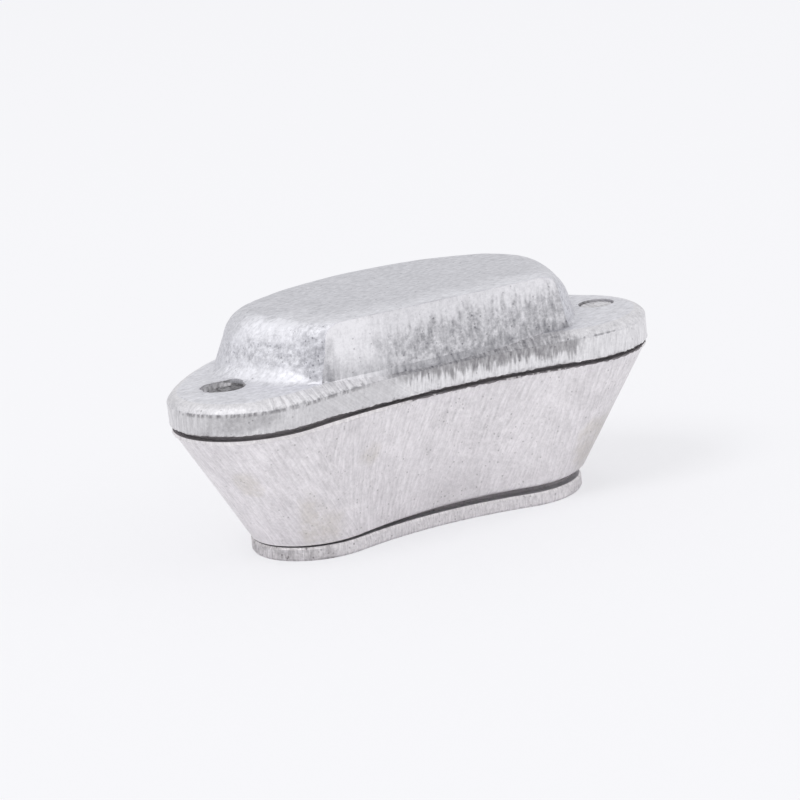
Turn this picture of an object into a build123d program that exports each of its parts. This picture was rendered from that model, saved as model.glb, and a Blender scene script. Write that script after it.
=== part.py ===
"""Small crown-and-bridge curing flask of cast aluminium: base plate, tapered body, domed lid and two guide pins.

The flask stands on its base plate, +Z up. X runs from ear to ear, and -Y is the hollow, waisted side.
The origin is on the underside, in the middle of the flask's length and depth. All sizes are in millimetres.
"""

import os
from math import cos, hypot, radians, sin, tan

from build123d import *

# Heights of the castings
plate_thickness = 2.7
parting_height = 28.6
flange_thickness = 6.5
flask_height = 45.8

# The block, the chambers and the pins sit this far to the right of the ears' middle
core_shift = 1.8

# Outline of the ears and of both parting faces
ear_reach = 50.0
ear_radius = 16.9
ear_y = -9.3
waist_y = -21.8
back_y = 26.2

# Outline of the body's foot
foot_reach = 34.8
foot_radius = 12.8
foot_end_y = -5.0
foot_waist_y = -14.7
foot_back_y = 19.2

# Raised block of the lid, drafted from its root to its flat top, with a front that is filed flat
dome_reach = 37.9
dome_end_radius = 18.5
dome_end_y = 1.5
dome_front_y = -32.5
dome_back_y = 25.6
dome_draft = 15.0
dome_edge_radius = 6.0
foot_blend_radius = 1.5
foot_blend_steps = 4
filed_front_y = -21.4
filed_front_draft = 3.0

# Chamber for the wax-up and its plaster
lid_wall = 5.4
roof_thickness = 4.2
lid_chamber_draft = 8.0
body_chamber_draft = 11.0

# Edge work on the castings
ear_bevel_width = 3.0
ear_bevel_height = 1.8
parting_relief_depth = 0.5
parting_relief_width = 2.2
foot_relief_width = 2.0
foot_relief_left = 0.15
foot_relief_right = 1.6
plate_lip = 0.3
plate_edge_chamfer = 0.4

# Guide pins, pressed into the body and loose in the lid's ears, one wall in from the ears' tips
pin_ear_wall = 9.8
pin_behind_ear = 0.8
pin_radius = 3.4
pin_socket_depth = 6.0
pin_below_ear_top = 0.4
pin_tip_chamfer = 0.7
ear_hole_clearance = 0.3

# Raised spigot of the base plate, inside the body's lower opening
spigot_height = 1.4
spigot_clearance = 0.35
spigot_chamfer = 0.5

# An outline is reach, end radius, end y, front y and back y
ear_outline = (ear_reach, ear_radius, ear_y, waist_y, back_y)
foot_outline = (foot_reach, foot_radius, foot_end_y, foot_waist_y, foot_back_y)
dome_outline = (dome_reach, dome_end_radius, dome_end_y, dome_front_y, dome_back_y)


def inset(outline, by):
    """Outline moved in by one distance all round. Its arcs keep their centres."""
    reach, end_radius, end_y, front_y, rear_y = outline
    return reach - by, end_radius - by, end_y, front_y + by, rear_y - by


def bean(outline, height=0.0):
    """Face of four tangent arcs, level at a height: two round ends, a front and a back."""
    reach, end_radius, end_y, front_y, rear_y = outline
    end_x = reach - end_radius

    def touch(middle_y, outward):
        """Where the arc through (0, middle_y) meets the right end; outward is +1 at the back, -1 at the front."""
        inner_y = middle_y - outward * end_radius
        centre_y = (end_x**2 + end_y**2 - inner_y**2) / (2 * (end_y - inner_y))
        bulges = (middle_y - centre_y) * outward > 0
        step = (end_radius if bulges else -end_radius) / hypot(end_x, end_y - centre_y)
        return end_x * (1 + step), end_y + (end_y - centre_y) * step

    front_x, front_end_y = touch(front_y, -1)
    rear_x, rear_end_y = touch(rear_y, 1)
    edges = [
        ThreePointArc((-front_x, front_end_y), (0, front_y), (front_x, front_end_y)),
        ThreePointArc((front_x, front_end_y), (reach, end_y), (rear_x, rear_end_y)),
        ThreePointArc((rear_x, rear_end_y), (0, rear_y), (-rear_x, rear_end_y)),
        ThreePointArc((-rear_x, rear_end_y), (-reach, end_y), (-front_x, front_end_y)),
    ]
    return Pos(0, 0, height) * make_face(edges)


def core(outline, height):
    """Face of an outline that belongs to the block or the chambers, set over from the ears' middle."""
    return Pos(core_shift, 0, 0) * bean(outline, height)


def prism(outline, low, high):
    """Straight-sided block over an outline, between two heights."""
    return extrude(bean(outline, low), high - low)


def chamber_outline():
    """Opening of both chambers at the parting faces, one wall inside the lid's block and its filed front."""
    reach, end_radius, end_y, _, rear_y = inset(dome_outline, lid_wall)
    return reach, end_radius, end_y, filed_front_y + lid_wall, rear_y


def body_chamber_foot():
    """Lower opening of the body, where its drafted chamber meets the base plate."""
    return inset(chamber_outline(), (parting_height - plate_thickness) * tan(radians(body_chamber_draft)))


def parting_relief(low):
    """Border that is cut back all round a parting face, so that only an inner land closes."""
    high = low + parting_relief_depth
    return prism(inset(ear_outline, -1), low, high) - prism(inset(ear_outline, parting_relief_width), low, high)


def pin_places():
    """Centres of the left and the right guide pin."""
    reach = ear_reach - pin_ear_wall
    y = ear_y + pin_behind_ear
    return {"left": (core_shift - reach, y), "right": (core_shift + reach, y)}


def base_plate():
    """Loose knock-out plate with a low spigot that centres it in the body."""
    plate = prism(inset(foot_outline, -plate_lip), 0, plate_thickness)
    rims = plate.edges().group_by(Axis.Z)
    plate = chamfer(rims[0] + rims[-1], plate_edge_chamfer)
    spigot_outline = inset(body_chamber_foot(), spigot_clearance)
    spigot = extrude(core(spigot_outline, plate_thickness), spigot_height)
    return plate + chamfer(spigot.edges().group_by(Axis.Z)[-1], spigot_chamfer)


def foot_relief():
    """Wedge-shaped gap under the body's outer rim, from almost nothing on the left to its full height."""
    beyond = foot_reach + 1
    low = plate_thickness - 1
    left = plate_thickness + foot_relief_left
    right = plate_thickness + foot_relief_right
    profile = Polyline((-beyond, low), (beyond, low), (beyond, right), (-beyond, left), close=True)
    depth = foot_back_y - foot_end_y + foot_radius
    wedge = extrude(Plane.XZ * make_face(profile), depth, both=True)
    return wedge - prism(inset(foot_outline, foot_relief_width), low, plate_thickness + 2 * foot_relief_right)


def body():
    """Tapered middle casting, open at both ends, with blind sockets for the pins in its ears."""
    shell = loft([bean(foot_outline, plate_thickness), bean(ear_outline, parting_height)])
    chamber = loft([core(body_chamber_foot(), plate_thickness), core(chamber_outline(), parting_height)])
    shell = shell - chamber - parting_relief(parting_height - parting_relief_depth) - foot_relief()
    for x, y in pin_places().values():
        socket_floor = parting_height - pin_socket_depth
        shell -= Pos(x, y, socket_floor) * extrude(Circle(pin_radius), pin_socket_depth)
    return shell


def block_section(height, grown=0.0):
    """Level section of the drafted block, or of one that is larger all round."""
    root = parting_height + flange_thickness - ear_bevel_height
    return core(inset(dome_outline, (height - root) * tan(radians(dome_draft)) - grown), height)


def foot_blend():
    """Hollow fillet where the block runs out onto the ears, kept within the flat tops of the ears."""
    ear_top = parting_height + flange_thickness
    sections = []
    for step in range(foot_blend_steps + 1):
        turn = radians(90 * step / foot_blend_steps)
        height = ear_top + foot_blend_radius * (1 - cos(turn))
        sections.append(block_section(height, foot_blend_radius * (1 - sin(turn))))
    skirt = loft(sections, ruled=True)
    return skirt & prism(inset(ear_outline, ear_bevel_width), ear_top, ear_top + foot_blend_radius)


def dome():
    """Raised block of the lid: drafted sides, a soft top edge and a filed front."""
    root = parting_height + flange_thickness - ear_bevel_height
    block = loft([block_section(root), block_section(flask_height)])
    block = fillet(block.edges().group_by(Axis.Z)[-1], dome_edge_radius)
    block += foot_blend()
    lean = (flask_height - root) * tan(radians(filed_front_draft))
    kept = Polyline(
        (filed_front_y, root),
        (filed_front_y + lean, flask_height),
        (dome_back_y + foot_blend_radius, flask_height),
        (dome_back_y + foot_blend_radius, root),
        close=True,
    )
    return block & extrude(Plane.YZ * make_face(kept), 2 * dome_reach, both=True)


def lid_chamber():
    """Hollow of the lid, drafted from the parting face to its roof."""
    roof = flask_height - roof_thickness
    taper = (roof - parting_height) * tan(radians(lid_chamber_draft))
    return loft([core(chamber_outline(), parting_height), core(inset(chamber_outline(), taper), roof)])


def lid():
    """Domed upper casting with two bevelled ears, each with a hole for its guide pin."""
    top = parting_height + flange_thickness
    bevel_foot = top - ear_bevel_height
    flange = prism(ear_outline, parting_height, bevel_foot)
    flange += loft([bean(ear_outline, bevel_foot), bean(inset(ear_outline, ear_bevel_width), top)])
    casting = flange + dome()
    casting = casting - lid_chamber() - parting_relief(parting_height)
    for x, y in pin_places().values():
        hole = extrude(Circle(pin_radius + ear_hole_clearance), flange_thickness + foot_blend_radius)
        casting -= Pos(x, y, parting_height) * hole
    return casting


def guide_pin(x, y):
    """Turned pin with a chamfer at each end."""
    foot = parting_height - pin_socket_depth
    length = pin_socket_depth + flange_thickness - pin_below_ear_top
    pin = extrude(Circle(pin_radius), length)
    return Pos(x, y, foot) * chamfer(pin.edges(), pin_tip_chamfer)


def main():
    nodes = {"base_plate": base_plate(), "body": body(), "lid": lid()}
    for side, (x, y) in pin_places().items():
        nodes[f"guide_pin_{side}"] = guide_pin(x, y)
    os.makedirs("parts", exist_ok=True)
    for name, shape in nodes.items():
        export_step(shape, f"parts/{name}.step")


main()
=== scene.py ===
"""Visual model of a small cast aluminium dental flask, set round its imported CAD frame.

The sizes are in millimetres until a mesh is laid out, where MM turns them to metres.
"""
import logging
import math
from dataclasses import dataclass, replace
from enum import Enum
from typing import Any, Callable

import bmesh
import bpy
from mathutils import Matrix, Vector, kdtree, noise


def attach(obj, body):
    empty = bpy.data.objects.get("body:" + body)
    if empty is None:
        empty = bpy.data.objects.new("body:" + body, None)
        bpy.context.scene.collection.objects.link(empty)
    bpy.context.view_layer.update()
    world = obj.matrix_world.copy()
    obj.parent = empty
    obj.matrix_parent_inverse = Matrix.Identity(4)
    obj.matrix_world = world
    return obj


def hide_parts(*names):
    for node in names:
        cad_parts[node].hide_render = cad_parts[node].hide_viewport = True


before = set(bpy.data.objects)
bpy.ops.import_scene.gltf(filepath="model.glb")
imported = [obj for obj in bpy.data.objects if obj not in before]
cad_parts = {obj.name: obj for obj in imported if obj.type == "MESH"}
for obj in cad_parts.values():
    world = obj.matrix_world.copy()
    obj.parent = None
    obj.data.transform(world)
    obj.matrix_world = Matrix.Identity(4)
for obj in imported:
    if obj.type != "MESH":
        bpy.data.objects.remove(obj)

log = logging.getLogger("dental_flask")
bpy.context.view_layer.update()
MM = 0.001

# Heights of the castings and places of the pins, as the CAD has them
PLATE_TOP = 2.7
PARTING = 28.6
EAR_TOP = 35.1
BEVEL_FOOT = 33.3
FLASK_TOP = 45.8
CORE_SHIFT = 1.8
SOCKET_DEPTH = 6.0
PIN_REACH = 40.2
PIN_Y = -8.5

# Corners round one ring: front arc, one end, back arc, other end
CORNERS = (290, 130, 200, 130)

# Rings that close the block's flat top and a pin's end, as shares of their rims
CROWN = (0.97, 0.94, 0.91, 0.88, 0.85, 0.82, 0.78, 0.74, 0.68, 0.6, 0.5, 0.4, 0.3, 0.2, 0.12, 0.06)
PIN_CROWN = (0.88, 0.76, 0.64, 0.52, 0.4, 0.28, 0.16, 0.06)

# Angle from which an edge between two faces is shaded sharp
SHARP_FROM = math.radians(34)

# Map Range nodes that rise with a soft start and stop
SOFT = {"interpolation_type": "SMOOTHSTEP"}


class Slot(Enum):
    """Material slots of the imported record."""

    CASTING = "cast_aluminium"
    PIN = "pin_metal"


class Body(Enum):
    """CAD bodies that the pieces ride on."""

    PLATE = "plate"
    MIDDLE = "middle"
    COVER = "cover"


@dataclass(frozen=True)
class Outline:
    """Closed kidney outline of four tangent arcs: two round ends, a front and a back."""

    reach: float
    end_radius: float
    end_y: float
    front_y: float
    back_y: float
    shift: float = 0.0

    def inset(self, by: float) -> "Outline":
        """Moves the outline in by one distance all round.

        Args:
            by: Distance in millimetres; a negative one moves it out.

        Returns:
            The new outline, whose arcs keep their centres.
        """
        return Outline(
            self.reach - by, self.end_radius - by, self.end_y, self.front_y + by, self.back_y - by, self.shift
        )

    def _bow(self, middle_y: float, outward: int) -> tuple[float, Vector]:
        """Finds the long arc through (0, middle_y) that touches both round ends.

        Args:
            middle_y: Where the arc crosses the middle line.
            outward: 1 for the back, -1 for the front.

        Returns:
            The y of the arc's centre, and its touching point on the right end.
        """
        end_x = self.reach - self.end_radius
        inner_y = middle_y - outward * self.end_radius
        centre_y = (end_x**2 + self.end_y**2 - inner_y**2) / (2 * (self.end_y - inner_y))
        bulges = (middle_y - centre_y) * outward > 0
        step = (self.end_radius if bulges else -self.end_radius) / math.hypot(end_x, self.end_y - centre_y)
        return centre_y, Vector((end_x * (1 + step), self.end_y + (self.end_y - centre_y) * step))

    def corners(self) -> list[Vector]:
        """Lays the ring's corners along the outline, from the front's left end round by the right.

        Returns:
            Points in the plane, with the same number on each arc for every outline.
        """
        end_x = self.reach - self.end_radius
        front_centre, front_touch = self._bow(self.front_y, -1)
        back_centre, back_touch = self._bow(self.back_y, 1)
        ends = [math.atan2(touch.y - self.end_y, touch.x - end_x) for touch in (front_touch, back_touch)]

        def bow(middle_y: float, centre_y: float, touch: Vector, count: int) -> list[Vector]:
            """Spreads corners along a long arc from left to right."""
            radius = abs(middle_y - centre_y)
            facing = math.copysign(1.0, middle_y - centre_y)
            half = math.asin(touch.x / radius)
            turns = [half * (2 * step / count - 1) for step in range(count)]
            return [Vector((radius * math.sin(a), centre_y + facing * radius * math.cos(a))) for a in turns]

        def end(side: int, start: float, stop: float, count: int) -> list[Vector]:
            """Spreads corners round one end."""
            radius = self.end_radius
            turns = [start + (stop - start) * step / count for step in range(count)]
            return [
                Vector((side * (end_x + radius * math.cos(a)), self.end_y + radius * math.sin(a)))
                for a in turns
            ]

        places = bow(self.front_y, front_centre, front_touch, CORNERS[0])
        places += end(1, ends[0], ends[1], CORNERS[1])
        back = bow(self.back_y, back_centre, back_touch, CORNERS[2])
        places += [Vector((-place.x, place.y)) for place in back]
        places += end(-1, ends[1], ends[0], CORNERS[3])
        return [place + Vector((self.shift, 0.0)) for place in places]


EAR = Outline(50.0, 16.9, -9.3, -21.8, 26.2)
FOOT = Outline(34.8, 12.8, -5.0, -14.7, 19.2)
DOME = Outline(37.9, 18.5, 1.5, -32.5, 25.6, CORE_SHIFT)
FILED_Y = -21.4
LID_WALL = 5.4
BODY_CHAMBER_DRAFT = 11.0
FILED_SLOPE = math.tan(math.radians(3.0))


def chamber(draft_in: float = 0.0) -> Outline:
    """Opening of both chambers at the parting faces, moved in by the draft.

    Args:
        draft_in: Distance in millimetres.

    Returns:
        The outline, set over with the block.
    """
    return replace(DOME.inset(LID_WALL), front_y=FILED_Y + LID_WALL).inset(draft_in)


def chamber_foot() -> Outline:
    """Lower opening of the ring, where its drafted chamber meets the base plate."""
    return chamber((PARTING - PLATE_TOP) * math.tan(math.radians(BODY_CHAMBER_DRAFT)))


def inward(ring: list[Vector]) -> list[Vector]:
    """Gives the unit direction into the outline at each corner of a ring.

    Args:
        ring: Corners in order, anticlockwise from above.

    Returns:
        One direction in the plane for each corner.
    """
    count = len(ring)
    along = [ring[(step + 1) % count] - ring[step - 1] for step in range(count)]
    return [Vector((-way.y, way.x)).normalized() for way in along]


def eased(values: list[float], passes: int) -> list[float]:
    """Evens out values round a ring.

    Args:
        values: One value for each corner.
        passes: How often each one is averaged with its two neighbours.

    Returns:
        The evened values.
    """
    for _ in range(passes):
        values = [(values[s - 1] + values[s] + values[(s + 1) % len(values)]) / 3 for s in range(len(values))]
    return values


def smooth(value: float, low: float, high: float) -> float:
    """Rises from 0 at low to 1 at high with a soft start and stop."""
    share = min(max((value - low) / (high - low), 0.0), 1.0)
    return share * share * (3 - 2 * share)


def grain(place: Vector, size: float, octaves: int = 3, seed: float = 0.0) -> float:
    """Fractal noise of about 0 to 1.

    Args:
        place: Point in millimetres.
        size: Size of the largest lumps, in millimetres.
        octaves: Number of finer layers.
        seed: Shift that picks another part of the noise.

    Returns:
        The noise there.
    """
    shifted = place / size + Vector((seed, 1.7 * seed, -0.6 * seed))
    return min(max(0.5 + 0.5 * noise.fractal(shifted, 0.9, 2.1, octaves), 0.0), 1.0)


@dataclass(frozen=True)
class Dent:
    """Shallow scar that is pressed into a casting."""

    place: tuple[float, float, float]
    radius: float
    depth: float


@dataclass(frozen=True)
class CastSkin:
    """How far a cast and dressed surface stands in from its drawn form, in millimetres."""

    wobble: float = 0.10
    wobble_size: float = 11.0
    lumps: float = 0.05
    lump_size: float = 2.2
    seed: float = 0.0
    rough_left: float = 0.0
    dents: tuple[Dent, ...] = ()

    def depth(self, place: Vector) -> float:
        """Depth at a point, never negative, so that a piece stays inside its drawn form.

        Args:
            place: Point in millimetres.

        Returns:
            Depth in millimetres.
        """
        depth = self.wobble * grain(place, self.wobble_size, 2, self.seed)
        depth += self.lumps * grain(place, self.lump_size, 3, self.seed + 7.0)
        if self.rough_left:
            share = smooth(-place.x, 16.0, 27.0)
            if share:
                pits = max(grain(place, 1.5, 3, self.seed + 3.0) - 0.46, 0.0)
                depth += share * self.rough_left * (pits * 2.2 + 0.55 * grain(place, 5.0, 2, self.seed + 5.0))
        for dent in self.dents:
            away = (place - Vector(dent.place)).length / dent.radius
            if away < 1.0:
                depth += dent.depth * (1 - away * away) * (0.55 + 0.9 * grain(place, 0.5, 2, 2.0))
        return depth


class RingSkin:
    """Closed skin that grows ring by ring, every ring with the same number of corners."""

    def __init__(self, ring: list[Vector], along: list[float]) -> None:
        """Starts the skin with its first ring.

        Args:
            ring: Corners in millimetres.
            along: Distance along the outline at each corner, in millimetres, for the surface's own map.
        """
        self.mesh = bmesh.new()
        bmesh.ops.create_circle(self.mesh, cap_ends=False, segments=len(ring), radius=1.0)
        self.rings = [list(self.mesh.verts)]
        self.open_edges = list(self.mesh.edges)
        self.along = along
        self.weights: dict[bmesh.types.BMVert, float] = {}
        self.column = {vert: step for step, vert in enumerate(self.rings[0])}
        self._lay(self.rings[0], ring, 0.0)

    def _lay(self, verts: list[bmesh.types.BMVert], ring: list[Vector], weight: float) -> None:
        """Moves one ring's vertices to their corners and notes how much of the skin's depth they take."""
        for vert, corner in zip(verts, ring):
            vert.co = corner * MM
            self.weights[vert] = weight

    def grow(self, ring: list[Vector], weight: float = 0.0) -> None:
        """Extrudes the open ring once.

        Args:
            ring: Corners of the new ring in millimetres.
            weight: Share of the skin's depth that the ring takes.
        """
        made = bmesh.ops.extrude_edge_only(self.mesh, edges=self.open_edges)["geom"]
        fresh = {item for item in made if isinstance(item, bmesh.types.BMVert)}
        last = self.rings[-1]
        following: list[bmesh.types.BMVert] = []
        for step, vert in enumerate(last):
            twin = next(e.other_vert(vert) for e in vert.link_edges if e.other_vert(vert) in fresh)
            self.column[twin] = step
            following.append(twin)
        self.open_edges = [e for e in made if isinstance(e, bmesh.types.BMEdge) and set(e.verts) <= fresh]
        self.rings.append(following)
        self._lay(following, ring, weight)

    def close(self) -> None:
        """Joins the last ring to the first where they lie on each other."""
        bmesh.ops.remove_doubles(self.mesh, verts=self.rings[0] + self.rings[-1], dist=1e-6)

    def cap(self) -> None:
        """Closes every open ring with one flat face."""
        loose = [edge for edge in self.mesh.edges if edge.is_boundary]
        bmesh.ops.edgeloop_fill(self.mesh, edges=loose)

    def map_wrap(self) -> None:
        """Writes the distance along the outline and the height, in millimetres, to the surface's own map."""
        layer = self.mesh.loops.layers.uv.new("wrap")
        count = len(self.along)
        whole = self.along[-1] + (self.along[-1] - self.along[-2])
        for face in self.mesh.faces:
            steps = [self.column.get(loop.vert, 0) for loop in face.loops]
            wraps = max(steps) - min(steps) > count // 2
            for loop, step in zip(face.loops, steps):
                turn = whole if wraps and step < count // 2 else 0.0
                loop[layer].uv = (self.along[step] + turn, loop.vert.co.z / MM)

    def settle(self, skin: CastSkin) -> None:
        """Presses the skin's depth into the mesh.

        Args:
            skin: Depth of the cast surface.
        """
        bmesh.ops.recalc_face_normals(self.mesh, faces=self.mesh.faces)
        self.mesh.normal_update()
        moves = {
            vert: vert.normal * (weight * skin.depth(vert.co / MM) * MM)
            for vert, weight in self.weights.items()
            if weight and vert.is_valid
        }
        for vert, move in moves.items():
            vert.co -= move


def lift(ring: list[Vector], height: float) -> list[Vector]:
    """Lays a flat ring at one height."""
    return [Vector((corner.x, corner.y, height)) for corner in ring]


def distance_along(ring: list[Vector]) -> list[float]:
    """Distance along a ring at each corner, zero in the middle of the front.

    Args:
        ring: Corners in order.

    Returns:
        Distances in millimetres, rising from left to right along the front.
    """
    total, distances = 0.0, []
    for step, corner in enumerate(ring):
        distances.append(total)
        total += (ring[(step + 1) % len(ring)] - corner).length
    middle = distances[CORNERS[0] // 2]
    return [distance - middle for distance in distances]


ALONG = distance_along(EAR.corners())


def to_object(mesh: bmesh.types.BMesh, name: str) -> bpy.types.Object:
    """Turns a finished bmesh into an object of the scene.

    Args:
        mesh: Mesh in metres; it is freed.
        name: Name of the piece.

    Returns:
        The object, at the origin.
    """
    bmesh.ops.recalc_face_normals(mesh, faces=mesh.faces)
    data = bpy.data.meshes.new(name)
    mesh.to_mesh(data)
    mesh.free()
    piece = bpy.data.objects.new(name, data)
    bpy.context.scene.collection.objects.link(piece)
    return piece


def carve(piece: bpy.types.Object, tools: list[tuple[bpy.types.Object, str]]) -> None:
    """Joins solids to a piece or cuts them out of it, and removes them.

    Args:
        piece: The piece that changes.
        tools: Each solid with UNION or DIFFERENCE.
    """
    for tool, action in tools:
        step = piece.modifiers.new(tool.name, "BOOLEAN")
        step.operation = action
        step.object = tool
        step.solver = "MANIFOLD"
    bpy.context.view_layer.update()
    seen = piece.evaluated_get(bpy.context.evaluated_depsgraph_get())
    carved = bpy.data.meshes.new_from_object(seen)
    piece.modifiers.clear()
    old = piece.data
    piece.data = carved
    carved.name = piece.name
    bpy.data.meshes.remove(old)
    for tool, _ in tools:
        bpy.data.objects.remove(tool)


def circle(
    x: float, y: float, radius: float, height: float, corners: int, rough: float = 0.0
) -> list[Vector]:
    """Lays a level round ring.

    Args:
        x: Centre across.
        y: Centre in depth.
        radius: Radius in millimetres.
        height: Height in millimetres.
        corners: Number of corners.
        rough: How far the ring strays, in millimetres.

    Returns:
        The corners.
    """
    ring = []
    for step in range(corners):
        turn = 2 * math.pi * step / corners
        out = Vector((math.cos(turn), math.sin(turn), 0.0))
        place = Vector((x, y, height)) + out * radius
        ring.append(place + out * rough * (grain(place, 1.6, 3) - 0.5) if rough else place)
    return ring


def cylinder(
    name: str, x: float, y: float, levels: list[tuple[float, float]], rough: float = 0.0
) -> bpy.types.Object:
    """Makes a round upright solid whose radius changes with height.

    Args:
        name: Name of the solid.
        x: Centre across.
        y: Centre in depth.
        levels: Radius and height of each ring, from the lowest.
        rough: How far its wall strays, in millimetres.

    Returns:
        The solid as an object.
    """
    corners = 96
    around = [2 * math.pi * levels[0][0] * step / corners for step in range(corners)]
    skin = RingSkin(circle(x, y, *levels[0], corners, rough), around)
    for level in levels[1:]:
        skin.grow(circle(x, y, *level, corners, rough))
    skin.cap()
    return to_object(skin.mesh, name)


def linear(colour: str) -> tuple[float, float, float, float]:
    """Turns an sRGB hex colour to linear values."""
    parts = [int(colour[step:step + 2], 16) / 255 for step in (1, 3, 5)]
    return (*(c / 12.92 if c <= 0.04045 else ((c + 0.055) / 1.055) ** 2.4 for c in parts), 1.0)


def add_node(
    tree: bpy.types.NodeTree, kind: str, values: dict[str | int, Any] | None = None
) -> bpy.types.Node:
    """Adds one node with its settings and links.

    Args:
        tree: Tree of the material or world.
        kind: Type name of the node.
        values: Properties by name, and what each input takes, by its name or number: a value,
            an output, or a node whose first output is meant.

    Returns:
        The new node.
    """
    node = tree.nodes.new(kind)
    for key, value in (values or {}).items():
        if isinstance(key, str) and hasattr(node, key):
            setattr(node, key, value)
        elif isinstance(value, (bpy.types.Node, bpy.types.NodeSocket)):
            source = value.outputs[0] if isinstance(value, bpy.types.Node) else value
            tree.links.new(source, node.inputs[key])
        else:
            node.inputs[key].default_value = value
    return node


@dataclass(frozen=True)
class WearAndPaintedLight:
    """What hand work and use have left at one spot of a surface, with the painted light and shade laid there
    too.
    """

    tone: float = 0.0
    mottle: float = 0.0
    strokes: float = 1.0
    stain: float = 0.0


@dataclass(frozen=True)
class Patch:
    """Frayed patch of wear round a point, in millimetres."""

    x: float
    y: float
    z: float
    radius: float

    def cover(self, place: Vector, cloud: float) -> float:
        """Gives how much of the patch there is at a point.

        Args:
            place: Point in millimetres.
            cloud: Noise of -0.5 to 0.5 that frays the patch.

        Returns:
            0 outside to 1 inside.
        """
        away = (place - Vector((self.x, self.y, self.z))).length
        return smooth(self.radius * (1 + 1.2 * cloud) - away, 0.0, 0.7 * self.radius)


@dataclass(frozen=True)
class Strokes:
    """One family of file or abrasive strokes, and the stretch of the outline that it covers."""

    angle: float
    spacing: float
    length: float
    contrast: float
    start: float = -1000.0
    stop: float = 1000.0
    seed: float = 0.0

    @property
    def everywhere(self) -> bool:
        """Whether the strokes run all round."""
        return self.start <= -1000.0 and self.stop >= 1000.0


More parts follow.
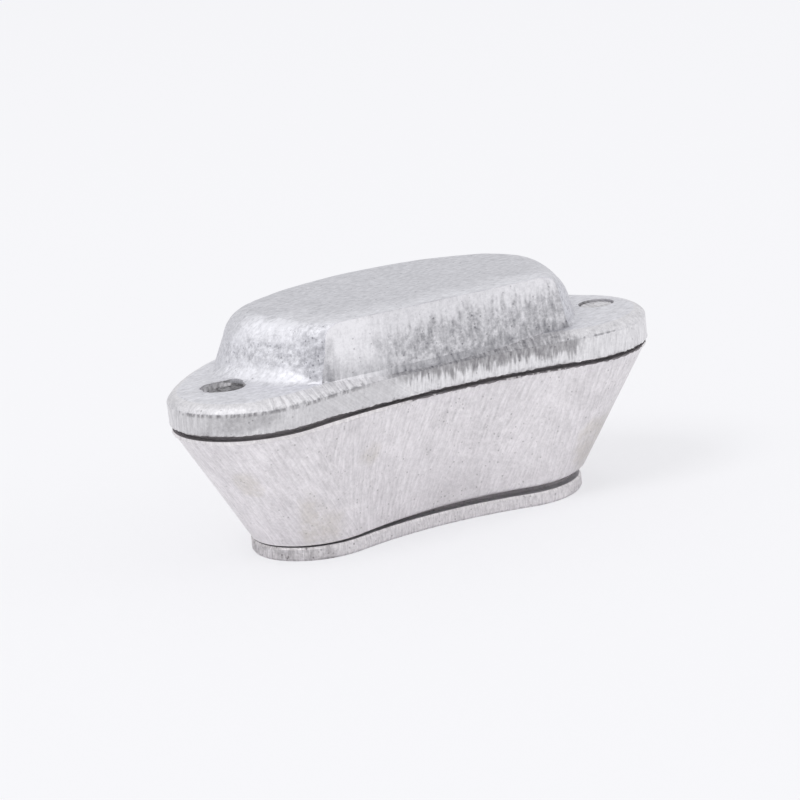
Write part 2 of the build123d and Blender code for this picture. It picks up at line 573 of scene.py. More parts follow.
@dataclass(frozen=True)
class Aluminium:
    """Cast aluminium alloy. Its tone runs from a dull dark grey to a burnished pale one."""

    name: str
    tone: float = 0.6
    dark: str = "#8E8D92"
    light: str = "#F4F3F6"
    blotch: float = 0.10
    blotch_size: float = 3.0
    speckle: float = 0.10
    speckle_size: float = 0.45
    mottle: float = 0.55
    mottle_size: float = 1.5
    pits: float = 0.25
    pit_size: float = 1.1
    pit_share: float = 0.5
    pit_crowd: float = 0.15
    strokes: tuple[Strokes, ...] = ()
    roughness: float = 0.50
    bump: float = 0.35
    stain: float = 0.0
    drag: tuple[float, float, float] = (1.0, 1.0, 1.0)

    def material(self) -> bpy.types.Material:
        """Builds the finish.

        Returns:
            The material.
        """
        made = bpy.data.materials.new(self.name)
        made.use_nodes = True
        tree = made.node_tree
        tree.nodes.clear()
        shader = add_node(tree, "ShaderNodeBsdfPrincipled", {"Metallic": 1.0})
        add_node(tree, "ShaderNodeOutputMaterial", {"Surface": shader})
        self.paint(tree, shader)
        return made

    def lumps(
        self, tree: bpy.types.NodeTree, place: bpy.types.NodeSocket, size: float, detail: float = 3.0,
        seed: float = 0.0, drag: tuple[float, float, float] = (1.0, 1.0, 1.0),
    ) -> bpy.types.Node:
        """Lays noise of one real size on Object coordinates.

        Args:
            tree: Tree of the material.
            place: Object coordinates.
            size: Size of the lumps in millimetres.
            detail: Finer layers.
            seed: Shift of the pattern.
            drag: How many times longer the lumps are along each axis.

        Returns:
            The noise, centred on zero.
        """
        shift = add_node(tree, "ShaderNodeMapping", {
            "vector_type": "TEXTURE", "Location": (seed, seed * 0.7, seed * 1.3), "Scale": drag,
            "Vector": place,
        })
        lumps = add_node(tree, "ShaderNodeTexNoise", {
            "Scale": 1 / (size * MM), "Detail": detail, "Roughness": 0.72, "Vector": shift,
        })
        return add_node(tree, "ShaderNodeMath", {"operation": "SUBTRACT", 0: lumps, 1: 0.5})

    def layered(
        self, tree: bpy.types.NodeTree, start: Any, layers: list[tuple[Any, float]], clamp: bool = False
    ) -> bpy.types.Node:
        """Adds patterns to a value one after another, each by its own amount.

        Args:
            tree: Tree of the material.
            start: Value or output to start from.
            layers: Each pattern with its amount.
            clamp: Keeps the result between 0 and 1.

        Returns:
            The sum.
        """
        for pattern, amount in layers:
            start = add_node(tree, "ShaderNodeMath", {
                "operation": "MULTIPLY_ADD", 0: pattern, 1: amount, 2: start,
            })
        start.use_clamp = clamp
        return start

    def drawn(self, tree: bpy.types.NodeTree, strokes: Strokes) -> bpy.types.Node:
        """Draws long thin strokes in the surface's own map.

        Args:
            tree: Tree of the material.
            strokes: Their direction and size.

        Returns:
            The strokes, centred on zero, and none outside their stretch of the outline.
        """
        wrap = add_node(tree, "ShaderNodeUVMap", {"uv_map": "wrap"})
        turned = add_node(tree, "ShaderNodeMapping", {
            "vector_type": "TEXTURE", "Location": (strokes.seed, 3 * strokes.seed, 0.0),
            "Rotation": (0.0, 0.0, math.radians(strokes.angle)),
            "Scale": (strokes.length, strokes.spacing, 1.0), "Vector": wrap,
        })
        lines = add_node(tree, "ShaderNodeTexNoise", {
            "Scale": 1.0, "Detail": 2.5, "Roughness": 0.65, "Distortion": 0.15, "Vector": turned,
        })
        centred = add_node(tree, "ShaderNodeMath", {"operation": "SUBTRACT", 0: lines, 1: 0.5})
        if strokes.everywhere:
            return centred
        frayed = add_node(tree, "ShaderNodeTexNoise", {"Scale": 0.25, "Detail": 2.0, "Vector": wrap})
        across = self.layered(tree, add_node(tree, "ShaderNodeSeparateXYZ", {0: wrap}), [(frayed, 14.0)])
        for edge, rises in ((strokes.start, True), (strokes.stop, False)):
            share = add_node(tree, "ShaderNodeMapRange", SOFT | {
                "From Min": edge + 4.0, "From Max": edge + 10.0,
                "To Min": float(not rises), "To Max": float(rises), "Value": across,
            })
            centred = add_node(tree, "ShaderNodeMath", {"operation": "MULTIPLY", 0: centred, 1: share})
        return centred

    def pitting(
        self, tree: bpy.types.NodeTree, place: bpy.types.NodeSocket, rough: bpy.types.NodeSocket
    ) -> bpy.types.Node:
        """Opens small round pits, most of them where the skin is rough.

        Args:
            tree: Tree of the material.
            place: Object coordinates.
            rough: How much of the cast skin is left.

        Returns:
            1 in a pit and 0 between them.
        """
        cells = add_node(tree, "ShaderNodeTexVoronoi", {
            "Scale": 1 / (self.pit_size * MM), "Randomness": 1.0, "Vector": place,
        })
        hole = add_node(tree, "ShaderNodeMapRange", SOFT | {
            "From Min": 0.12, "From Max": 0.30, "To Min": 1.0, "To Max": 0.0,
            "Value": cells.outputs["Distance"],
        })
        lot = add_node(tree, "ShaderNodeSeparateXYZ", {0: cells.outputs["Color"]})
        crowd = self.lumps(tree, place, self.pit_size * 4.0, 2.0, 4.0)
        share = self.layered(tree, self.pit_share, [(crowd, 1.6), (rough, self.pit_crowd)])
        spare = add_node(tree, "ShaderNodeMath", {"operation": "SUBTRACT", 0: share, 1: lot})
        chance = add_node(tree, "ShaderNodeMapRange", SOFT | {
            "From Min": -0.1, "From Max": 0.1, "Value": spare,
        })
        return add_node(tree, "ShaderNodeMath", {"operation": "MULTIPLY", 0: hole, 1: chance})

    def paint(self, tree: bpy.types.NodeTree, shader: bpy.types.Node) -> None:
        """Feeds the shader's colour, roughness and bump.

        Args:
            tree: Tree of the material.
            shader: Its Principled shader.
        """
        place = add_node(tree, "ShaderNodeTexCoord").outputs["Object"]
        # The point attribute read here holds painted light and shade as well as wear, both in its tone
        # channel
        wear_and_painted_light = add_node(tree, "ShaderNodeAttribute", {"attribute_name": "wear_and_painted_light"}).outputs["Vector"]
        worn_and_lit_tone, rough, rubbed = add_node(tree, "ShaderNodeSeparateXYZ", {0: wear_and_painted_light}).outputs
        blotch = self.lumps(tree, place, self.blotch_size)
        speckle = self.lumps(tree, place, self.speckle_size, 2.0, 0.0, self.drag)
        skin = self.lumps(tree, place, self.mottle_size, 5.0, 6.0)
        uneven = add_node(tree, "ShaderNodeMath", {"operation": "MULTIPLY", 0: skin, 1: rough})
        tones = [(blotch, 2 * self.blotch), (speckle, 2 * self.speckle), (uneven, 2 * self.mottle)]
        reliefs = [(uneven, 1.5)]
        if self.strokes:
            drawn = [(self.drawn(tree, strokes), strokes.contrast) for strokes in self.strokes]
            lines = self.layered(tree, 0.0, drawn)
            lines = add_node(tree, "ShaderNodeMath", {"operation": "MULTIPLY", 0: lines, 1: rubbed})
            tones.append((lines, 2.0))
            reliefs.append((lines, 6.0))
        pits = self.pitting(tree, place, rough)
        start = add_node(tree, "ShaderNodeMath", {"operation": "ADD", 0: worn_and_lit_tone, 1: self.tone})
        tone = self.layered(tree, start, [*tones, (pits, -self.pits)], clamp=True)
        relief = self.layered(tree, speckle, [*reliefs, (pits, -1.6)])
        colour = add_node(tree, "ShaderNodeMix", {
            "data_type": "RGBA", 0: tone, 6: linear(self.dark), 7: linear(self.light),
        }).outputs[2]
        if self.stain:
            there = add_node(tree, "ShaderNodeAttribute", {"attribute_name": "stain"}).outputs["Fac"]
            patch = add_node(tree, "ShaderNodeMapRange", SOFT | {
                "From Min": -0.30, "From Max": 0.12, "Value": self.lumps(tree, place, 3.0, 4.0, 9.0),
            })
            stained = add_node(tree, "ShaderNodeMath", {"operation": "MULTIPLY", 0: patch, 1: there})
            share = add_node(tree, "ShaderNodeMath", {"operation": "MULTIPLY", 0: stained, 1: self.stain})
            colour = add_node(tree, "ShaderNodeMix", {
                "data_type": "RGBA", "blend_type": "MULTIPLY", 0: share, 6: colour, 7: linear("#DAD6C8"),
            }).outputs[2]
        tree.links.new(colour, shader.inputs["Base Color"])
        gloss = self.layered(tree, self.roughness, [(blotch, 0.25)], clamp=True)
        tree.links.new(gloss.outputs[0], shader.inputs["Roughness"])
        bump = add_node(tree, "ShaderNodeBump", {
            "Strength": self.bump, "Distance": 0.12 * MM, "Height": relief,
        })
        tree.links.new(bump.outputs[0], shader.inputs["Normal"])


# Sand-cast skin of the block and the ears as it left the mould: matt, grey, finely grained, with the
# grain drawn out by a light rub
CAST_TOP = Aluminium(
    "sand_cast_aluminium", tone=0.66, dark="#8C8C93", light="#F3F3F8", blotch=0.08, blotch_size=5.0,
    speckle=0.42, speckle_size=0.58, mottle=0.70, mottle_size=1.1, pits=0.42, pit_size=0.9,
    pit_share=-0.05, pit_crowd=0.45, roughness=0.62, bump=0.35, drag=(2.2, 1.0, 1.0),
)
# Sand-cast skin of the chambers and the closing lands, never rubbed: an even matt grey with fine pits
CAST_INSIDE = Aluminium(
    "sand_cast_aluminium_chamber", tone=0.62, blotch=0.10, speckle=0.20, speckle_size=0.6,
    roughness=0.62,
)
# Body's wall, dressed by hand on an abrasive belt: pale, with strokes that change direction along it,
# fine pits opened up and faint brown stains
DRESSED_RING = Aluminium(
    "belt_dressed_aluminium", tone=0.82, dark="#8B8789", light="#F5F2F4", blotch=0.13, blotch_size=6.0,
    speckle=0.24, speckle_size=0.65, mottle=0.5, pits=0.34, pit_size=0.85, pit_share=0.12,
    pit_crowd=0.5, stain=0.40, roughness=0.52, bump=0.35,
    strokes=(
        Strokes(-42.0, 0.66, 4.6, 0.38, -1000.0, -28.0, 1.0),
        Strokes(60.0, 0.66, 4.2, 0.36, -30.0, 2.0, 2.0),
        Strokes(76.0, 0.66, 4.0, 0.32, 0.0, 26.0, 3.0),
        Strokes(101.0, 0.66, 3.6, 0.34, 24.0, 1000.0, 4.0),
    ),
)
# Lid's flange wall, drawn over a coarse file and a belt: bright close strokes, slanting on the left and
# upright on the right
FILED_FLANGE = Aluminium(
    "filed_aluminium_flange", tone=0.71, dark="#888689", light="#F5F4F6", blotch=0.08, blotch_size=4.0,
    speckle=0.20, speckle_size=0.6, mottle=0.6, pits=0.28, pit_size=0.9, pit_share=0.02, roughness=0.52,
    bump=0.35,
    strokes=(
        Strokes(-40.0, 0.50, 7.0, 0.26, -1000.0, -6.0, 5.0),
        Strokes(80.0, 0.62, 3.5, 0.42, -8.0, 1000.0, 6.0),
    ),
)
# Bevel of the ears, touched by a file: matt, with short upright strokes over cast skin
FILED_BEVEL = Aluminium(
    "filed_aluminium_bevel", tone=0.68, dark="#8A898E", blotch=0.10, speckle=0.28, speckle_size=0.6,
    mottle=0.7, pits=0.34, pit_size=0.9, pit_share=0.0, pit_crowd=0.3, roughness=0.66, bump=0.5,
    strokes=(Strokes(86.0, 0.66, 3.0, 0.50, seed=7.0),),
)
# Front of the block, filed flat: burnished bands beside dull dark cast skin that the file left
FILED_FRONT = Aluminium(
    "filed_aluminium_front", tone=0.71, dark="#808085", blotch=0.08, speckle=0.26, speckle_size=0.6,
    mottle=0.80, mottle_size=1.2, pits=0.34, pit_size=0.9, pit_share=0.04, roughness=0.50, bump=0.45,
    strokes=(Strokes(90.0, 0.70, 4.5, 0.44, seed=8.0),),
)
# Loose plate's edge, rubbed on coarse cloth: pale, with upright streaks and deep pits
RUBBED_EDGE = Aluminium(
    "rubbed_aluminium_edge", tone=0.82, dark="#7F7B7D", light="#F1EEF0", blotch=0.16, blotch_size=2.2,
    speckle=0.26, speckle_size=0.6, pits=0.42, pit_size=0.9, pit_share=0.30, roughness=0.52,
    strokes=(Strokes(84.0, 0.60, 2.0, 0.50),),
)
# Cast faces in the narrow gaps: dull, and darker than all round them as painted shade in the gaps
GAP_SHADE_SKIN = Aluminium(
    "painted_shade_aluminium_gap", tone=0.45, dark="#8F8B8E", light="#D6D2D5", speckle=0.3, roughness=0.8,
)
# Drawn rod, faced in a lathe and bruised by use: a mottled grey end. It also covers the walls of the ear
# holes, and its dark grey there and on the pin in the worn hole is painted shade
PIN_AND_SHADED_HOLE = Aluminium(
    "drawn_aluminium_pin_and_shaded_hole", tone=0.60, dark="#4E4C50", blotch=0.25, blotch_size=1.8, speckle=0.50,
    speckle_size=0.8, pits=0.4, pit_size=0.8, pit_share=0.1, roughness=0.72, bump=0.5,
    drag=(1.0, 4.0, 4.0),
)


def dress(
    piece: bpy.types.Object, finishes: list[Aluminium], choose: Callable[[Vector, Vector], Aluminium],
    wear_and_painted_light: Callable[[Vector, Vector], WearAndPaintedLight],
) -> None:
    """Gives each face of a piece its finish and each point its wear and painted light and shade, and shades
    it smooth between real edges.

    Args:
        piece: The piece.
        finishes: Its finishes.
        choose: Takes a face's centre in millimetres and its normal and gives the finish.
        wear_and_painted_light: Takes a point in millimetres and its normal and gives the wear and the painted
            light and shade.
    """
    mesh = piece.data
    mesh.materials.clear()
    for finish in finishes:
        mesh.materials.append(bpy.data.materials.get(finish.name) or finish.material())
    order = {finish: step for step, finish in enumerate(finishes)}
    for face in mesh.polygons:
        face.material_index = order[choose(face.center / MM, face.normal)]
        face.use_smooth = True
    mesh.set_sharp_from_angle(angle=SHARP_FROM)
    marks = [wear_and_painted_light(vert.co / MM, vert.normal) for vert in mesh.vertices]
    layer = mesh.attributes.new("wear_and_painted_light", "FLOAT_VECTOR", "POINT")
    layer.data.foreach_set(
        "vector", [value for mark in marks for value in (mark.tone, mark.mottle, mark.strokes)]
    )
    layer = mesh.attributes.new("stain", "FLOAT", "POINT")
    layer.data.foreach_set("value", [mark.stain for mark in marks])


def interpolate(low: list[Vector], high: list[Vector], share: float) -> list[Vector]:
    """Mixes two rings corner by corner."""
    return [first.lerp(second, share) for first, second in zip(low, high)]


def ragged(step: int, seed: float) -> float:
    """Torn edge of a casting, from 0 to about 1, at one corner of the ring."""
    along = ALONG[step]
    fine = grain(Vector((along, seed, 0.0)), 0.9, 3, seed)
    coarse = grain(Vector((along, 0.0, seed)), 5.0, 2, seed + 2.0)
    return min(max(2.2 * (0.6 * fine + 0.4 * coarse) - 0.65, 0.0), 1.0)


@dataclass(frozen=True)
class PinPlace:
    """Where a guide pin stands, and how worn its hole is."""

    name: str
    x: float
    y: float
    worn: float
    node: str


PINS = (
    PinPlace("left", CORE_SHIFT - PIN_REACH, PIN_Y, 0.6, "guide_pin_left"),
    PinPlace("right", CORE_SHIFT + PIN_REACH, PIN_Y, 0.0, "guide_pin_right"),
)


@dataclass
class BasePlate:
    """Loose knock-out plate with the spigot that centres it in the ring."""

    name: str = "base_plate_skin"
    lip: float = 0.3
    edge: float = 0.4
    spigot_height: float = 1.4
    spigot_clearance: float = 0.35
    spigot_edge: float = 0.5
    skin: CastSkin = CastSkin(0.06, 9.0, 0.14, 1.3, 21.0)

    def build(self) -> bpy.types.Object:
        """Builds the plate from its underside round to the spigot's top.

        Returns:
            The dressed piece.
        """
        rim = FOOT.inset(-self.lip)
        spigot = chamber_foot().inset(self.spigot_clearance)
        high = PLATE_TOP + self.spigot_height
        levels = [(rim, self.edge + (PLATE_TOP - 2 * self.edge) * step / 8, 1.0) for step in range(9)]
        levels += [
            (rim.inset(self.edge), PLATE_TOP, 0.3),
            (spigot, PLATE_TOP, 0.0),
            (spigot, high - self.spigot_edge, 0.0),
            (spigot.inset(self.spigot_edge), high, 0.0),
        ]
        skin = RingSkin(lift(rim.inset(self.edge).corners(), 0.0), ALONG)
        for outline, height, weight in levels:
            skin.grow(lift(outline.corners(), height), weight)
        skin.cap()
        skin.map_wrap()
        skin.settle(self.skin)
        piece = to_object(skin.mesh, self.name)
        dress(piece, [RUBBED_EDGE, CAST_INSIDE], self.finish, self.wear_and_painted_light)
        return piece

    def finish(self, centre: Vector, normal: Vector) -> Aluminium:
        """Chooses the finish of one face."""
        return CAST_INSIDE if abs(normal.z) > 0.75 else RUBBED_EDGE

    def wear_and_painted_light(self, place: Vector, normal: Vector) -> WearAndPaintedLight:
        """Darker and dirtier towards the left end."""
        dirty = smooth(-place.x + 8 * grain(place, 5.0, 2, 3.0), 24.0, 34.0)
        return WearAndPaintedLight(-0.44 * dirty * grain(place, 2.4, 2, 6.0), 0.8 * dirty, 1.0)


@dataclass
class RingBody:
    """Tapered middle casting between the base plate and the parting face."""

    name: str = "body_skin"
    foot_relief: float = 2.0
    least_land: float = 0.35
    relief_left: float = 0.15
    relief_right: float = 1.6
    parting_relief: float = 0.5
    parting_land: float = 2.2
    wall_rings: int = 60
    torn: float = 0.42
    sunk_left: float = 0.42
    socket_radius: float = 3.41
    dull: Patch = Patch(4.0, -15.5, 4.5, 10.0)
    smudge: Patch = Patch(-32.0, -27.0, 27.4, 3.4)
    pitted: tuple[Patch, ...] = (Patch(8.5, -19.3, 19.0, 8.0), Patch(1.0, -20.0, 24.0, 5.0))
    stains: tuple[Patch, ...] = (Patch(-40.3, -17.0, 18.0, 3.6), Patch(-16.6, -20.6, 19.0, 3.2),
                                 Patch(-28.0, -18.8, 8.0, 7.0), Patch(33.0, -17.7, 10.0, 7.5))
    skin: CastSkin = CastSkin(0.12, 12.0, 0.05, 1.8, 3.0, dents=(Dent((-3.3, -21.4, 26.6), 1.3, 0.3),))

    def foot_height(self, x: float) -> float:
        """Height of the outer rim above the table, higher to the right."""
        beyond = FOOT.reach + 1.0
        share = (x + beyond) / (2 * beyond)
        return PLATE_TOP + self.relief_left + (self.relief_right - self.relief_left) * share

    def build(self) -> bpy.types.Object:
        """Builds the casting from its foot land, up the wall and down the chamber.

        Returns:
            The dressed piece.
        """
        foot, ear = FOOT.corners(), EAR.corners()
        rise = PARTING - PLATE_TOP
        bottom = chamber_foot().corners()
        land = []
        for near, far in zip(bottom, foot):
            share = max(1 - self.foot_relief / (far - near).length, self.least_land)
            land.append(near.lerp(far, share))
        skin = RingSkin(lift(bottom, PLATE_TOP), ALONG)
        skin.grow(lift(land, PLATE_TOP))
        skin.grow([Vector((p.x, p.y, self.foot_height(p.x))) for p in land])
        lowest = [(self.foot_height(p.x) - PLATE_TOP) / rise for p in foot]
        highest = (rise - self.parting_relief) / rise
        rounds = [0.25 + 0.75 * smooth(place.x, -30.0, 12.0) for place in foot]
        for turn in (0.0, 0.25, 0.5, 0.75):
            ring = []
            for step, share in enumerate(lowest):
                part = share + rounds[step] * (1 - math.cos(turn * math.pi / 2)) / rise
                place = foot[step].lerp(ear[step], part)
                way = (Vector((0.0, 0.0)) - place).normalized()
                place = place + way * rounds[step] * (1 - math.sin(turn * math.pi / 2))
                ring.append(Vector((place.x, place.y, PLATE_TOP + rise * part)))
            skin.grow(ring, 0.3)
        starts = [share + size / rise for share, size in zip(lowest, rounds)]
        for level in range(self.wall_rings):
            part = level / (self.wall_rings - 1)
            ring = []
            for step, start in enumerate(starts):
                share = start + (highest - start) * part
                place = foot[step].lerp(ear[step], share)
                height = PLATE_TOP + rise * share
                if level > self.wall_rings - 3:
                    low = self.torn * ragged(step, 4.0) + self.sunk_left * smooth(-place.x, 2.0, 20.0)
                    height -= low * (1.0 if level == self.wall_rings - 1 else 0.5)
                ring.append(Vector((place.x, place.y, height)))
            skin.grow(ring, 1.0)
        skin.grow(lift(EAR.inset(0.5).corners(), PARTING - self.parting_relief))
        inner = EAR.inset(self.parting_land).corners()
        skin.grow(lift(inner, PARTING - self.parting_relief))
        skin.grow(lift(inner, PARTING))
        opening = chamber().corners()
        for level in range(13):
            share = 1 - level / 12
            skin.grow(lift(interpolate(bottom, opening, share), PLATE_TOP + rise * share))
        skin.close()
        skin.map_wrap()
        skin.settle(self.skin)
        piece = to_object(skin.mesh, self.name)
        bore = [(self.socket_radius, PARTING - SOCKET_DEPTH), (self.socket_radius, PARTING + 1.0)]
        sockets = [cylinder(f"socket_{side.name}", side.x, side.y, bore) for side in PINS]
        carve(piece, [(socket, "DIFFERENCE") for socket in sockets])
        dress(piece, [DRESSED_RING, GAP_SHADE_SKIN, CAST_INSIDE], self.finish, self.wear_and_painted_light)
        return piece

    def wear_and_painted_light(self, place: Vector, normal: Vector) -> WearAndPaintedLight:
        """Gives the wall's dull patch, smudge, pits and stains, and ragged painted shade from the parting gap
        along its upper edge.

        Args:
            place: Point in millimetres.
            normal: Direction that it faces.

        Returns:
            Its wear and painted shade.
        """
        if normal.z > 0.7 or place.z > PARTING - 0.3:
            return WearAndPaintedLight()
        cloud = grain(place, 7.0, 3, 13.0) - 0.5
        low, smudge = self.dull.cover(place, cloud), self.smudge.cover(place, cloud)
        pitted = max(patch.cover(place, cloud) for patch in self.pitted)
        stain = max(patch.cover(place, cloud) for patch in self.stains)
        # Painted shade: ragged dark patches on the wall just below the parting gap
        edge = smooth(place.z + 0.5 * grain(place, 0.8, 2, 3.0), PARTING - 0.7, PARTING - 0.45)
        tone = 0.16 * cloud - 0.10 * low - 0.16 * smudge - 0.03 * pitted
        tone -= 0.35 * edge * smooth(grain(place, 1.4, 2, 18.0), 0.5, 0.62)
        return WearAndPaintedLight(tone, max(0.35 * low, 0.7 * pitted, 0.5 * smudge), 1.0 - 0.55 * low - 0.3 * stain, stain)

    def finish(self, centre: Vector, normal: Vector) -> Aluminium:
        """Chooses the finish of one face."""
        share = (centre.z - PLATE_TOP) / (PARTING - PLATE_TOP)
        from_wall = math.hypot(centre.x, centre.y)
        if centre.z > PARTING - 0.65 and normal.z > 0.5:
            return GAP_SHADE_SKIN if centre.z < PARTING - 0.1 else CAST_INSIDE
        relief_wall = from_wall > 12 and abs(normal.z) < 0.1
        if centre.z < self.foot_height(centre.x) + 0.02 and (normal.z < -0.8 or relief_wall):
            return GAP_SHADE_SKIN
        outward = Vector((centre.x - CORE_SHIFT * share, centre.y)).dot(Vector((normal.x, normal.y))) > 0
        if abs(normal.z) < 0.5 and centre.z > PARTING - 0.5:
            return GAP_SHADE_SKIN if outward else CAST_INSIDE
        return DRESSED_RING if outward and from_wall > 5 else CAST_INSIDE


@dataclass
class Lid:
    """Domed upper casting with two bevelled ears and a front filed flat."""

    name: str = "lid_skin"
    parting_relief: float = 0.5
    parting_land: float = 2.2
    torn: float = 0.28
    raised_left: float = 0.30
    bevel_width: float = 3.0
    bevel_swell: float = 0.8
    roof: float = 4.2
    hole_foot: float = 3.7
    hole_top: float = 3.46
    worn_foot: float = 3.4
    worn_top: float = 3.6
    chamber_draft: float = 8.0
    draft: float = 15.0
    left_draft: float = 23.0
    front_draft: float = 8.0
    top_edge: float = 8.0
    left_edge: float = 6.5
    right_edge: float = 10.0
    front_edge: float = 2.6
    blend: float = 1.6
    left_blend: float = 3.4
    right_blend: float = 0.7
    back_swell: float = 3.4
    flange_skin: CastSkin = CastSkin(0.07, 8.0, 0.05, 1.6, 9.0)
    dome_skin: CastSkin = CastSkin(0.14, 12.0, 0.05, 2.4, 14.0, rough_left=0.20)

    def bevel_ring(self, share: float) -> list[Vector]:
        """Ring of the ears' bevel, softly rounded except along the left of the front.

        Args:
            share: 0 at the bevel's foot, 1 at the ears' top.

        Returns:
            The corners.
        """
        low, high = EAR.corners(), EAR.inset(self.bevel_width).corners()
        turn = share * math.pi / 2
        ring = []
        for first, second in zip(low, high):
            crisp = smooth(28.0 - first.x, 0.0, 8.0) * smooth(42.0 + first.x, 0.0, 8.0)
            crisp *= smooth(-first.y, 14.0, 20.0)
            swell = self.bevel_swell * (1 - 0.85 * crisp)
            inward_share = share + (1 - math.cos(turn) - share) * swell
            height = share + (math.sin(turn) - share) * swell
            place = first.lerp(second, inward_share)
            ring.append(Vector((place.x, place.y, BEVEL_FOOT + (EAR_TOP - BEVEL_FOOT) * height)))
        return ring

    def flange(self) -> bpy.types.Object:
        """Builds the flange with both ears, closed below and above."""
        inner = EAR.inset(self.parting_land).corners()
        edge = EAR.corners()
        skin = RingSkin(lift(EAR.inset(6.0).corners(), PARTING), ALONG)
        skin.grow(lift(inner, PARTING))
        skin.grow(lift(inner, PARTING + self.parting_relief))
        skin.grow(lift(EAR.inset(0.5).corners(), PARTING + self.parting_relief))
        low = PARTING + self.parting_relief
        for level in range(13):
            share = level / 12
            height = low + (BEVEL_FOOT - low) * share
            burr = (1 - share) ** 6
            ring = []
            for step, place in enumerate(edge):
                raised = self.raised_left * smooth(-place.x, 10.0, 26.0) - self.torn * ragged(step, 11.0)
                ring.append(Vector((place.x, place.y, height + burr * raised)))
            skin.grow(ring, 0.4 if level == 0 else 1.0)
        for level in range(1, 11):
            skin.grow(self.bevel_ring(level / 10), 1.0)
        for level in range(1, 10):
            skin.grow(lift(EAR.inset(self.bevel_width + level * 1.0).corners(), EAR_TOP), 0.8)
        skin.cap()
        skin.map_wrap()
        skin.settle(self.flange_skin)
        return to_object(skin.mesh, "flange")

    def side(self, into: Vector) -> tuple[float, float]:
        """Draft and top edge of the block where its wall runs one way round.

        Args:
            into: Direction into the block.

        Returns:
            The draft in radians and the radius of the top edge.
        """
        left, right = smooth(into.x, 0.45, 0.95), smooth(-into.x, 0.25, 0.9)
        front = smooth(into.y, 0.35, 0.8)
        draft = self.draft + (self.left_draft - self.draft) * left + (self.front_draft - self.draft) * front
        edge = self.top_edge + (self.left_edge - self.top_edge) * left
        edge += (self.right_edge - self.top_edge) * right
        return math.radians(draft), edge + (self.front_edge - edge) * front

    def profile(self, draft: float, edge: float, blend: float) -> list[tuple[float, float]]:
        """Draws the block's section at one corner, from its hollow foot to the end of its rounded top edge.

        Args:
            draft: Lean of the wall in radians.
            edge: Radius of the top edge.
            blend: Radius of the foot.

        Returns:
            Distance inside the root and height of every ring.
        """
        lean, spots = math.tan(draft), []
        for level in range(7):
            turn = (math.pi / 2 - draft) * (0.12 + 0.88 * level / 6)
            z = EAR_TOP - 0.03 + blend * (1 - math.cos(turn))
            reach = blend * (1 - math.sin(turn)) - blend * (1 - math.cos(draft))
            spots.append(((z - BEVEL_FOOT) * lean - reach, z))
        start, stop = z, FLASK_TOP - edge * (1 - math.sin(draft))
        for level in range(1, 21):
            z = start + (stop - start) * level / 20
            spots.append(((z - BEVEL_FOOT) * lean, z))
        for level in range(1, 19):
            turn = draft + (math.pi / 2 - draft) * level / 18
            inset = (stop - BEVEL_FOOT) * lean + edge * (math.cos(draft) - math.cos(turn))
            spots.append((inset, stop + edge * (math.sin(turn) - math.sin(draft))))
        return spots

    def blends(self, root: list[Vector], into: list[Vector]) -> list[float]:
        """Radius of the block's hollow foot all round, as far as the ears' flat tops have room for it.

        Args:
            root: Corners of the block's root.
            into: Direction into the block at each corner.

        Returns:
            One radius for each corner.
        """
        flat_top = EAR.inset(self.bevel_width).corners()
        ways = inward(flat_top)
        tree = kdtree.KDTree(len(flat_top))
        for step, place in enumerate(flat_top):
            tree.insert(place.to_3d(), step)
        tree.balance()
        radii = []
        for place, way in zip(root, into):
            _, near, _ = tree.find(place.to_3d())
            room = (place - flat_top[near]).dot(ways[near])
            radius = self.blend + (self.left_blend - self.blend) * smooth(way.x, 0.2, 0.8)
            radius += (self.right_blend - self.blend) * smooth(-way.x, 0.2, 0.8)
            radius += self.back_swell * smooth(way.x, 0.1, 0.6) * smooth(-way.y, -0.1, 0.5)
            radii.append(max(min(radius, max(room * 0.6, 0.0)), 0.03))
        return eased(radii, 6)

    def dome(self) -> bpy.types.Object:
        """Builds the block from inside the flange to its flat top, then files its front."""
        root = DOME.corners()
        into = inward(root)
        drafts, edges = (eased(list(values), 8) for values in zip(*(self.side(way) for way in into)))
        blends = self.blends(root, into)

        def ring(spots: list[tuple[float, float]]) -> list[Vector]:
            """Lays one ring of the skin at its distances inside the root and its heights."""
            return [(place + way * inset).to_3d() + Vector((0.0, 0.0, z))
                    for place, way, (inset, z) in zip(root, into, spots)]

        skin = RingSkin(ring([(-blend * 0.86, BEVEL_FOOT) for blend in blends]), ALONG)
        for spots in zip(*map(self.profile, drafts, edges, blends)):
            rim = ring(spots)
            skin.grow(rim, 1.0)
        centre = Vector((CORE_SHIFT, 0.0, FLASK_TOP))
        for share in CROWN:
            skin.grow([centre + (corner - centre) * share for corner in rim], 1.0)
        skin.cap()
        skin.map_wrap()
        skin.settle(self.dome_skin)
        self.file_front(skin.mesh)
        return to_object(skin.mesh, "dome")

    def file_front(self, mesh: bmesh.types.BMesh) -> None:
        """Cuts a crisp edge round the front and lays what stands before it flat."""
        normal = Vector((0.0, -1.0, FILED_SLOPE)).normalized()
        bmesh.ops.bisect_plane(
            mesh, geom=list(mesh.verts) + list(mesh.edges) + list(mesh.faces), dist=1e-7,
            plane_co=(0.0, FILED_Y * MM, BEVEL_FOOT * MM), plane_no=normal,
        )
        for vert in mesh.verts:
            place = vert.co / MM
            plane_y = FILED_Y + (place.z - BEVEL_FOOT) * FILED_SLOPE
            if place.y < plane_y - 1e-4:
                chatter = 0.05 * grain(Vector((place.x, place.z / 6, 0.0)), 1.3, 2, 31.0)
                chatter += 0.08 * grain(place, 3.0, 3, 5.0)
                edge = smooth(plane_y - place.y, 0.0, 0.6)
                vert.co.y = (plane_y + chatter * edge) * MM

